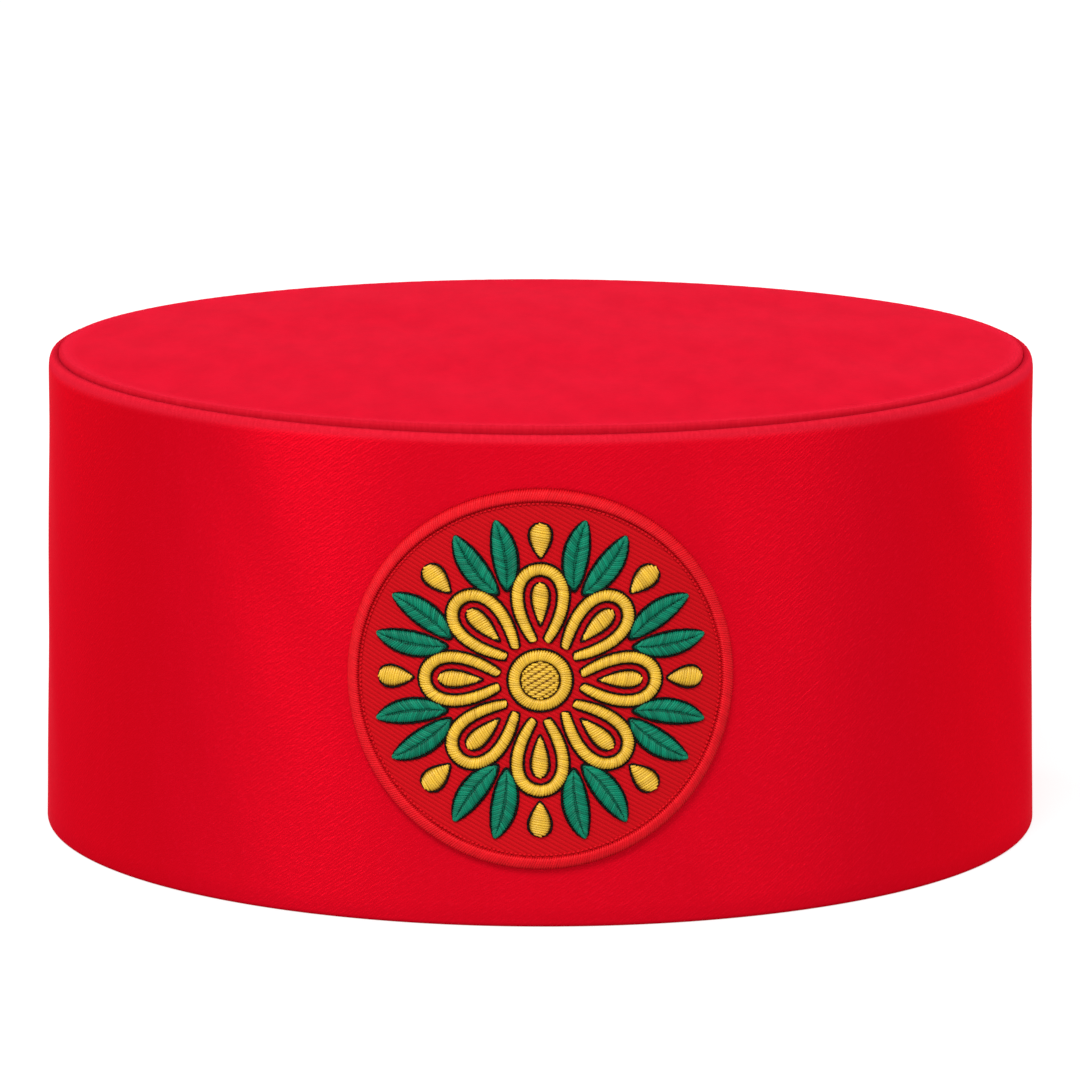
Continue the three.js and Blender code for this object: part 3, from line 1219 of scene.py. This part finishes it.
@dataclass
class Motif:
    """One embroidered motif, repeated in a ring: padded satin stitches along a spine."""

    name: str
    colour: ThreadColour
    plan: SatinPlan
    spine: Spine
    half_width: float
    root_power: float
    tip_power: float
    height: float
    turn: float = 0.0
    count: int = 8
    pitch: float = 0.4
    shortest: float = 0.3
    lean: float = 0.35
    vein_lean: float = 1.3
    vein_crest: float = 0.42
    tip_margin: float = 0.005
    stations: int = 7
    pad_width: float = 0.94
    pad_height: float = 0.85
    pad_depth: float = 0.3
    outline_gap: float = 0.12
    outline_points: int = 240

    def half_widths(self, along: np.ndarray) -> np.ndarray:
        """Gives the motif's half width at shares of its length.

        Args:
            along: The shares.

        Returns:
            The half widths, most where the root's power and the tip's balance.
        """
        along = np.clip(along, 0, 1)
        peak = self.root_power / (self.root_power + self.tip_power)
        swell = along ** self.root_power * (1 - along) ** self.tip_power
        most = peak ** self.root_power * (1 - peak) ** self.tip_power
        return self.half_width * swell / most

    def crests(self, along: np.ndarray) -> np.ndarray:
        """Gives the padding's height at shares of the motif's length."""
        return self.height * np.sqrt(self.half_widths(along) / self.half_width)

    def turned(self, points: np.ndarray, index: int) -> np.ndarray:
        """Turns points to the motif's place in its ring.

        Args:
            points: An array whose last axis starts with x and y, pointing outwards along +Y.
            index: The place in the ring.

        Returns:
            The turned points.
        """
        angle = -math.radians(self.turn + 360 * index / self.count)
        found = points.copy()
        found[..., 0] = points[..., 0] * math.cos(angle) - points[..., 1] * math.sin(angle)
        found[..., 1] = points[..., 0] * math.sin(angle) + points[..., 1] * math.cos(angle)
        return found

    def satin(self) -> Lines:
        """Works out the satin stitches.

        Returns:
            The stitches.
        """
        steps = int(self.spine.length / self.pitch)
        along = (np.arange(steps) + 0.5) / steps
        along = along[self.half_widths(along) > self.shortest]
        if self.plan is SatinPlan.ACROSS:
            across = np.linspace(-1, 1, self.stations)
            rise = np.sqrt(np.clip(1 - across ** 2, 0, 1))
            return self.stitches(along, across, self.lean * across, rise)
        out = np.linspace(0, 1, self.stations)
        rise = np.sqrt(np.clip(1 - ((out - self.vein_crest) / (1 - self.vein_crest)) ** 2, 0, 1))
        return np.concatenate([
            self.stitches(along, side * out, self.vein_lean * out, rise) for side in (-1, 1)
        ])

    def stitches(
        self, along: np.ndarray, across: np.ndarray, shift: np.ndarray, rise: np.ndarray,
    ) -> Lines:
        """Lays one stitch at each share of the spine.

        Args:
            along: The shares where the stitches cross or leave the middle line.
            across: The stations of a stitch, as shares of the half width.
            shift: How far each station leans towards the tip, in millimetres.
            rise: Each station's share of the padding's height.

        Returns:
            The stitches.
        """
        where = along[:, None] + shift / self.spine.length
        where = np.clip(where, self.tip_margin, 1 - self.tip_margin)
        point, left = self.spine.at(where)
        flat = point + left * (across * self.half_widths(where))[..., None]
        level = LEVELS.motif_foot + self.crests(along)[:, None] * rise
        return np.concatenate([flat, level[..., None]], axis=2)

    def padded(self, ball: np.ndarray) -> np.ndarray:
        """Fits a unit ball to the padding under the stitches.

        Args:
            ball: The ball's points as rows of x, y and z, its axis along z.

        Returns:
            Their places in the badge's plane.
        """
        along = np.arccos(np.clip(-ball[:, 2], -1, 1)) / math.pi
        row = np.maximum(np.hypot(ball[:, 0], ball[:, 1]), TINY)
        point, left = self.spine.at(along)
        flat = point + left * (ball[:, 0] / row * self.pad_width * self.half_widths(along))[:, None]
        rise = np.maximum(ball[:, 1] / row, -self.pad_depth) * self.pad_height
        return np.column_stack([flat, LEVELS.motif_foot + rise * self.crests(along)])

    def contour(self) -> np.ndarray:
        """Draws the closed line just outside the motif's edge.

        Returns:
            Rows of x and y, closest together at the root and the tip.
        """
        along = (1 - np.cos(np.linspace(0, math.pi, self.outline_points))) / 2
        point, left = self.spine.at(along)
        reach = (self.half_widths(along) + self.outline_gap)[:, None]
        return np.concatenate([point + left * reach, (point - left * reach)[::-1]])

    def ring(self, seed: int, stray: float) -> Threads:
        """Stitches one ring of motifs over its padding.

        Args:
            seed: What its chance starts from.
            stray: How far stitches stray from their places, as a standard deviation.

        Returns:
            The threads.
        """
        nodes = [f"{self.name}_{i + 1}" for i in range(self.count)]
        threads = Threads(f"{self.name}_stitches", self.colour, seed, nodes)
        stitches = self.satin()
        for index in range(self.count):
            strays = threads.chance.normal(0, stray, (len(stitches), 1, 3))
            threads.lay(self.turned(stitches + strays, index), SATIN_THREAD)
            threads.pad(lambda ball, i=index: self.turned(self.padded(ball), i), around=12, along=24)
        return threads


LEAF_CONTROLS = ((0.7, 16.6), (3.4, 21.6), (3.7, 28.8))


def leaf(name: str, side: int) -> Motif:
    """Makes one leaf of the pairs between the petals: the left one for a side of -1, the right for 1."""
    spine = Spine(tuple((side * x, y) for x, y in LEAF_CONTROLS))
    return Motif(
        name, ThreadColour.GREEN, SatinPlan.FROM_VEIN, spine,
        half_width=2.1, root_power=0.8, tip_power=0.8, height=0.7, turn=22.5,
    )


MOTIFS = (
    Motif(
        "petal_loop", ThreadColour.GOLD, SatinPlan.ACROSS,
        arch(start=6.9, top=19.6, root_span=2.1, spread=11.6),
        half_width=1.05, root_power=0.15, tip_power=0.15, height=0.9,
    ),
    Motif(
        "petal_drop", ThreadColour.GOLD, SatinPlan.ACROSS, Spine(((0, 9.6), (0, 17.2))),
        half_width=1.5, root_power=1.1, tip_power=0.5, height=0.7,
    ),
    leaf("leaf_left", -1),
    leaf("leaf_right", 1),
    Motif(
        "bud", ThreadColour.GOLD, SatinPlan.ACROSS, Spine(((0, 21.5), (0, 27.7))),
        half_width=1.9, root_power=1.0, tip_power=0.5, height=0.8,
    ),
)


@dataclass
class RingWraps:
    """A round column of satin: threads that cross a ring from its inner to its outer edge."""

    radius: float
    half_width: float
    inner_level: float
    outer_level: float
    height: float
    pitch: float = 0.42
    lean: float = 0.5
    fullness: float = 2.0
    stations: int = 9

    def lines(self) -> Lines:
        """Works out the wraps.

        Returns:
            The wraps.
        """
        count = int(2 * math.pi * self.radius / self.pitch)
        across = np.linspace(-1, 1, self.stations)[None, :]
        angle = np.arange(count)[:, None] * 2 * math.pi / count + self.lean * across / self.radius
        radius = self.radius + self.half_width * across
        foot = self.inner_level + (self.outer_level - self.inner_level) * (across + 1) / 2
        level = foot + self.height * np.sqrt(np.clip(1 - np.abs(across) ** self.fullness, 0, 1))
        level = np.broadcast_to(level, angle.shape)
        return np.stack([radius * np.sin(angle), radius * np.cos(angle), level], axis=2)


@dataclass(frozen=True)
class RunningStitch:
    """Short stitches in a row, their ends dipping into the cloth; with a gap below 0 they overlap."""

    length: float
    gap: float
    dip: float
    stations: int = 5

    def along(self, line: np.ndarray, level: float) -> Lines:
        """Sews along a closed line.

        Args:
            line: The closed line as rows of x and y.
            level: The height above the wall's face at the middle of a stitch.

        Returns:
            The stitches.
        """
        closed = np.concatenate([line, line[:1]])
        runs = np.concatenate([[0.0], np.cumsum(np.linalg.norm(np.diff(closed, axis=0), axis=1))])
        count = int(runs[-1] / (self.length + self.gap))
        step = runs[-1] / count
        share = np.linspace(0, 1, self.stations)[None, :]
        where = (np.arange(count)[:, None] * step + share * (step - self.gap)) % runs[-1]
        flat = np.stack([np.interp(where, runs, closed[:, axis]) for axis in (0, 1)], axis=2)
        height = np.broadcast_to(level - self.dip * (2 * share - 1) ** 2, where.shape)
        return np.concatenate([flat, height[..., None]], axis=2)


def circle(radius: float, points: int = 360) -> np.ndarray:
    """Gives a circle about the badge's centre as rows of x and y."""
    turn = np.linspace(0, 2 * math.pi, points, endpoint=False)
    return radius * np.stack([np.sin(turn), np.cos(turn)], axis=1)


@dataclass
class Heart:
    """The middle of the design: a satin ring round a domed core of short stitches laid like bricks."""

    radius: float = 5.4
    ring_half_width: float = 1.0
    ring_height: float = 0.6
    ring_lift: float = 0.2
    core_gap: float = 0.15
    core_height: float = 0.9
    pad_height: float = 0.8
    pitch: float = 0.4
    stitch: float = 1.9
    bricks: int = 3
    shortest: float = 0.3
    dome_reach: float = 1.05
    dip: float = 0.12
    stations: int = 5
    outline_gap: float = 0.15

    def contours(self) -> list[np.ndarray]:
        """Draws the lines on both sides of the ring."""
        return [circle(self.radius + self.outline_gap), circle(self.radius - 2 * self.ring_half_width)]

    def brick_row(self, row: int, core: float) -> Lines:
        """Works out one row of the core's stitches.

        Args:
            row: The row, counted from the middle.
            core: The core's radius.

        Returns:
            The stitches.
        """
        y = row * self.pitch
        reach = math.sqrt(core ** 2 - y ** 2)
        offset = (row % self.bricks) / self.bricks * self.stitch
        breaks = np.arange(-2 * core + offset, 2 * core, self.stitch)
        stops = np.concatenate([[-reach], breaks[np.abs(breaks) < reach - self.shortest], [reach]])
        share = np.linspace(0, 1, self.stations)[None, :]
        x = stops[:-1, None] + np.diff(stops)[:, None] * share
        dome = np.sqrt(np.clip(1 - (x ** 2 + y ** 2) / (self.dome_reach * core) ** 2, 0, 1))
        level = LEVELS.motif_foot + self.core_height * dome - self.dip * (2 * share - 1) ** 2
        return np.stack([x, np.full_like(x, y), level], axis=2)

    def stitched(self) -> Threads:
        """Stitches the ring, then the core over its padding.

        Returns:
            The threads.
        """
        threads = Threads("heart_stitches", ThreadColour.GOLD, HEART_SEED, ["heart"])
        foot = LEVELS.motif_foot
        ring = RingWraps(
            radius=self.radius - self.ring_half_width, half_width=self.ring_half_width,
            inner_level=foot + self.ring_lift, outer_level=foot, height=self.ring_height,
            pitch=self.pitch, lean=0.25,
        )
        threads.lay(ring.lines(), SATIN_THREAD)
        core = self.radius - 2 * self.ring_half_width - self.core_gap
        size = (core, core, self.pad_height * self.core_height)
        threads.pad(lambda ball: ball * size + (0, 0, foot), around=24, along=12)
        rows = int(core / self.pitch)
        for row in range(-rows, rows + 1):
            threads.lay(self.brick_row(row, core), BRICK_THREAD)
        return threads


@dataclass
class Badge:
    """The round badge: a twill ground in a stitched edge, with padded motifs and dark outlines."""

    oval: WallOval
    radius: float
    heart: Heart = field(default_factory=Heart)
    edge_width: float = 2.3
    edge_sink: float = 0.1
    edge_rise: float = 0.3
    cord_pitch: float = 0.73
    cord_depth: float = 0.11
    cord_power: float = 0.6
    cord_slope: float = -30.0
    cord_step: float = 1.0
    cord_rows: int = 8
    cords_overlap: float = 1.4
    row_inset: float = 0.35
    row_lift: float = 0.1
    row_stitch: RunningStitch = RunningStitch(length=0.6, gap=0.15, dip=0.15)
    outline_lift: float = 0.2
    outline_stitch: RunningStitch = RunningStitch(length=1.3, gap=-0.15, dip=0.08)
    stray: float = 0.02

    @classmethod
    def from_frame(cls, oval: WallOval) -> "Badge":
        """Reads the badge's size off its CAD edge."""
        low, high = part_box("badge_edge")
        return cls(oval=oval, radius=(high.z - low.z) / 2 / MM)

    def woven(self, cut: float) -> bpy.types.Mesh:
        """Weaves the ground: a grid whose rows rise and fall into diagonal cords, cut round.

        Args:
            cut: The radius of the cut.

        Returns:
            A closed mesh in the badge's plane, in millimetres.
        """
        cords = math.ceil(cut / self.cord_pitch)
        half = cords * self.cord_pitch
        build = bmesh.new()
        cord_layer = build.verts.layers.float.new("cord")
        steps = round(2 * half / self.cord_step)
        bmesh.ops.create_grid(build, x_segments=steps, y_segments=self.cord_rows * cords, size=half)
        for vert in build.verts:
            place = vert.co.y / self.cord_pitch
            phase = place - math.floor(place + TINY)
            crest = max(0.0, math.sin(math.pi * phase)) ** self.cord_power
            vert[cord_layer] = crest
            vert.co.z = LEVELS.ground_top - self.cord_depth * (1 - crest)
        slope = Matrix.Rotation(math.radians(self.cord_slope), 3, "Z")
        bmesh.ops.rotate(build, verts=build.verts[:], cent=(0, 0, 0), matrix=slope)
        outside = [vert for vert in build.verts if vert.co.xy.length > cut]
        bmesh.ops.delete(build, geom=outside, context="VERTS")
        under = bmesh.ops.extrude_face_region(build, geom=build.faces[:], use_keep_orig=True)["geom"]
        for part in under:
            if isinstance(part, bmesh.types.BMVert):
                part.co.z = LEVELS.ground_under
        return finished(build, "badge_ground_twill")

    def ground(self, finish: bpy.types.Material) -> None:
        """Lays the ground on the wall, cut under the stitched edge.

        Args:
            finish: The twill.
        """
        cut = self.radius - self.edge_width + self.cords_overlap
        mesh = self.woven(cut)
        reshape(mesh, self.oval.bend)
        piece = new_piece("badge_ground_twill", mesh, finish)
        hand_over(piece, ["badge_ground"])

    def edge(self) -> Threads:
        """Wraps the badge's edge in overlock thread.

        Returns:
            The threads.
        """
        wraps = RingWraps(
            radius=self.radius - self.edge_width / 2, half_width=self.edge_width / 2,
            inner_level=LEVELS.ground_top - self.edge_sink, outer_level=LEVELS.edge_foot,
            height=LEVELS.edge_top - LEVELS.ground_top + self.edge_rise, fullness=2.6,
        )
        threads = Threads("badge_edge_wraps", ThreadColour.RED, EDGE_SEED, ["badge_edge"])
        # The wraps darken fully at their outer ends and only a little at their inner ends: painted shade
        threads.lay(wraps.lines(), WRAP_THREAD, painted_dive_power=5.0, root_painted_dive_shade=0.2)
        return threads

    def edge_row(self) -> Threads:
        """Sews the row of short stitches just inside the edge.

        Returns:
            The threads.
        """
        row = circle(self.radius - self.edge_width - self.row_inset)
        threads = Threads("badge_edge_row", ThreadColour.PAINTED_SHADE_STITCH_RED, ROW_SEED)
        threads.lay(self.row_stitch.along(row, LEVELS.ground_top + self.row_lift), ROW_THREAD)
        return threads

    def outlines(self) -> Threads:
        """Sews the dark running stitches round every motif and on both sides of the heart's ring.

        Returns:
            The threads.
        """
        threads = Threads("outline_stitches", ThreadColour.DARK, OUTLINE_SEED)
        lines = self.heart.contours()
        for motif in MOTIFS:
            contour = motif.contour()
            lines += [motif.turned(contour, index) for index in range(motif.count)]
        for line in lines:
            stitches = self.outline_stitch.along(line, LEVELS.motif_foot + self.outline_lift)
            stitches[..., :2] += threads.chance.normal(0, self.stray, (*stitches.shape[:2], 2))
            threads.lay(stitches, OUTLINE_THREAD, taper=0.7)
        return threads

    def build(self) -> None:
        """Builds every layer of the badge."""
        finishes = {colour: EmbroideryThread(colour).material() for colour in ThreadColour}
        self.ground(BadgeTwill().material())
        layers = [self.edge(), self.edge_row(), self.heart.stitched()]
        layers += [motif.ring(seed, self.stray) for seed, motif in enumerate(MOTIFS, start=FIRST_MOTIF_SEED)]
        layers.append(self.outlines())
        for threads in layers:
            threads.build(self.oval, finishes[threads.colour])


@dataclass(frozen=True)
class SoftBox:
    """A soft studio light, aimed at the middle of the cap."""

    name: str
    azimuth: float
    elevation: float
    distance: float
    width: float
    height: float
    watts: float

    def hang(self, target_height: float) -> None:
        """Hangs the light.

        Args:
            target_height: The height of the cap's middle, in metres.
        """
        azimuth, elevation = math.radians(self.azimuth), math.radians(self.elevation)
        data = bpy.data.lights.new(self.name, "AREA")
        data.shape = "RECTANGLE"
        data.size = self.width
        data.size_y = self.height
        data.energy = self.watts
        lamp = bpy.data.objects.new(self.name, data)
        lamp.location = (
            self.distance * math.sin(azimuth) * math.cos(elevation),
            -self.distance * math.cos(azimuth) * math.cos(elevation),
            target_height + self.distance * math.sin(elevation),
        )
        lamp.rotation_euler = (math.pi / 2 - elevation, 0.0, azimuth)
        bpy.context.scene.collection.objects.link(lamp)


@dataclass
class Studio:
    """The white studio: floor, world, soft boxes and a long-lens camera at the photograph's angle."""

    target_height: float = 0.044
    camera_elevation: float = 9.912
    camera_distance: float = 1.3629
    focal_pixels: float = 7236.0
    frame_pixels: float = 1080.0
    target_right_pixels: float = 0.5
    target_drop_pixels: float = 40.0
    roll: float = 0.1
    sensor_mm: float = 36.0
    clip_start: float = 0.05
    clip_end: float = 50.0
    floor_half: float = 6.0
    world_colour: str = "#ffffff"
    world_strength: float = 0.49
    # Each box's azimuth and elevation in degrees, its distance, width and height in metres, and its watts
    boxes: tuple[SoftBox, ...] = (
        SoftBox("key", -14.0, 46.0, 3.0, 1.0, 1.0, 64.0),
        SoftBox("left_strip", -58.0, 10.0, 1.4, 0.7, 0.5, 3.9),
        SoftBox("front_fill", 4.0, 9.0, 2.2, 1.4, 0.6, 3.2),
        SoftBox("right_fill", 56.0, 12.0, 2.0, 1.2, 0.7, 7.4),
        SoftBox("left_side", -140.0, 14.0, 1.8, 0.4, 0.8, 18.0),
        SoftBox("right_side", 128.0, 14.0, 1.8, 0.4, 0.8, 19.0),
        SoftBox("back_fill", 180.0, 34.0, 2.0, 1.8, 0.8, 2.0),
    )

    def camera(self) -> None:
        """Places the camera where the photograph was taken from; it aims a little above the cap's middle."""
        elevation = math.radians(self.camera_elevation)
        lift = math.atan(self.target_drop_pixels / self.focal_pixels)
        data = bpy.data.cameras.new("photo_camera")
        data.sensor_width = self.sensor_mm
        data.lens = self.focal_pixels / self.frame_pixels * self.sensor_mm
        data.clip_start = self.clip_start
        data.clip_end = self.clip_end
        camera = bpy.data.objects.new("photo_camera", data)
        camera.location = (
            0.0,
            -self.camera_distance * math.cos(elevation),
            self.target_height + self.camera_distance * math.sin(elevation),
        )
        turns = (
            (math.atan(self.target_right_pixels / self.focal_pixels), "Z"),
            (math.pi / 2 - elevation + lift, "X"),
            (math.radians(self.roll), "Z"),
        )
        turned = Matrix.Identity(3)
        for angle, axis in turns:
            turned = turned @ Matrix.Rotation(angle, 3, axis)
        camera.rotation_euler = turned.to_euler()
        bpy.context.scene.collection.objects.link(camera)
        bpy.context.scene.camera = camera

    def floor(self) -> None:
        """Lays the pale floor, hidden from the cap's surfaces so that it neither lights nor tints them."""
        build = bmesh.new()
        bmesh.ops.create_grid(build, x_segments=1, y_segments=1, size=self.floor_half)
        floor = new_piece("studio_floor", finished(build, "studio_floor"), StudioPaper().material())
        floor.visible_diffuse = False
        floor.visible_glossy = False

    def build(self) -> None:
        """Sets up the whole studio."""
        scene = bpy.context.scene
        world = bpy.data.worlds.new("white_room")
        world.use_nodes = True
        sky = {"Color": linear(self.world_colour), "Strength": self.world_strength}
        plug(world.node_tree, world.node_tree.nodes["Background"], sky, {})
        scene.world = world
        scene.view_settings.view_transform = "Standard"
        self.camera()
        self.floor()
        for box in self.boxes:
            box.hang(self.target_height)


def main() -> None:
    """Builds the studio and the cap's pieces in order."""
    logging.basicConfig(level=logging.INFO, format="%(relativeCreated)6d ms %(name)s: %(message)s")
    LOG.info("the frame has %d nodes", len(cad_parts))
    Studio().build()
    oval = WallOval.from_frame()
    SideBand(oval).build(BAND_CLOTH.material())
    CrownPanel(oval).build(CROWN_CLOTH.material())
    Badge.from_frame(oval).build()


if __name__ == "__main__":
    main()
